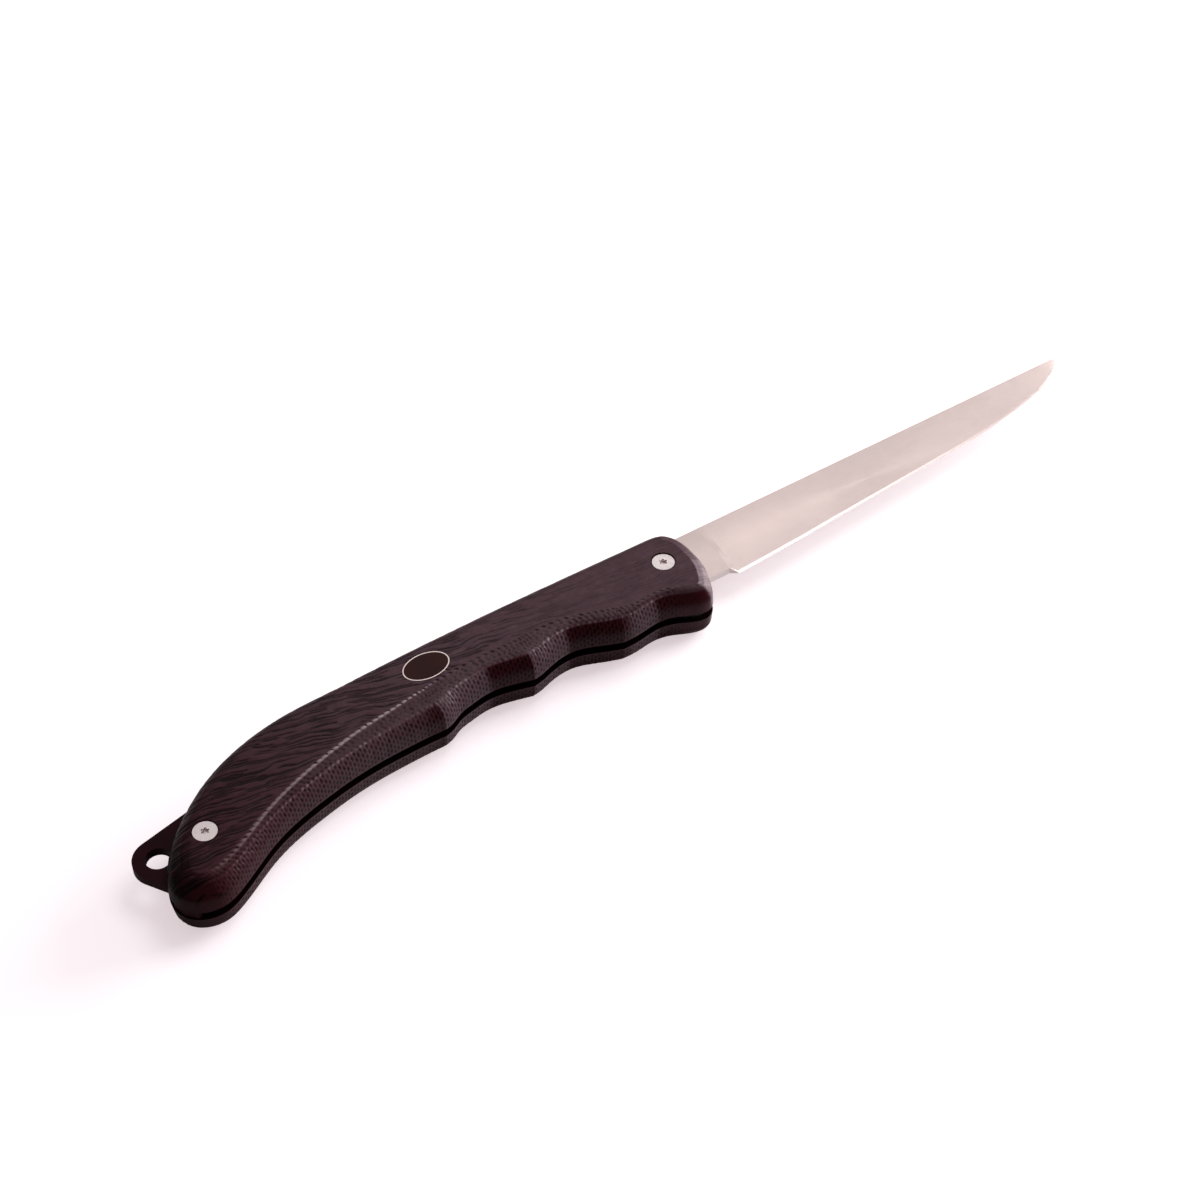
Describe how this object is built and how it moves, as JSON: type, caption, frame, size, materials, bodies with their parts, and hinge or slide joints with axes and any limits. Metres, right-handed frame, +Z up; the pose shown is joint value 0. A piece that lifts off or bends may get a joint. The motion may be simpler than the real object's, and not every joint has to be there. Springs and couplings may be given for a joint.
{
  "type": "folding fillet knife",
  "caption": "Folding fillet knife: slim upswept blade that folds into a moulded handle with finger grooves, with a back lock and a plate with a lanyard hole at the butt.",
  "frame": {"origin": "where the blade's pivot axis meets the plane that the knife lies on", "axes": "+X along the handle and blade to the tip, +Y to the blade's back, +Z up through the handle's thickness"},
  "size_m": [0.3215, 0.0443, 0.018],
  "materials": {
    "blade_steel": "fine satin grind",
    "hardware_steel": "turned, bare",
    "screw_steel": "satin, flat heads",
    "washer_plastic": "low-friction bearing plastic",
    "liner_steel": "matt black coated steel",
    "grip_rubber": "moulded, satin, with fine grain and small dimples",
    "plate_black": "black coated, satin",
    "lock_steel": "matt black coated steel",
    "spring_steel": "spring steel, bare",
    "badge_metal": "thin bright rim",
    "badge_dark": "bare dark face, no lettering"
  },
  "bodies": {
    "handle": {"grip_top": "grip_rubber", "grip_bottom": "grip_rubber", "liner_top": "liner_steel", "liner_bottom": "liner_steel", "pivot_barrel": "hardware_steel", "pivot_screw_top": "screw_steel", "pivot_screw_bottom": "screw_steel", "washer_top": "washer_plastic", "washer_bottom": "washer_plastic", "lanyard_plate": "plate_black", "rear_barrel": "hardware_steel", "rear_screw_top": "screw_steel", "rear_screw_bottom": "screw_steel", "lock_pin": "hardware_steel", "lock_spring": "spring_steel", "stop_pin": "hardware_steel", "plate_pin": "hardware_steel", "badge_rim": "badge_metal", "badge_plate": "badge_dark"},
    "blade": {"blade": "blade_steel"},
    "lock_bar": {"lock_bar": "lock_steel"}
  },
  "joints": [
    {"name": "blade_fold", "type": "hinge", "parent": "handle", "child": "blade", "pos_m": [0, 0, 0.009], "axis": [0, 0, -1], "range_deg": [0, 175]},
    {"name": "lock_rock", "type": "hinge", "parent": "handle", "child": "lock_bar", "pos_m": [-0.05802, 0.0085, 0.009], "axis": [0, 0, -1], "range_deg": [0, 1.6], "stiffness_Nm_per_rad": 1, "springref_deg": 11.46}
  ]
}
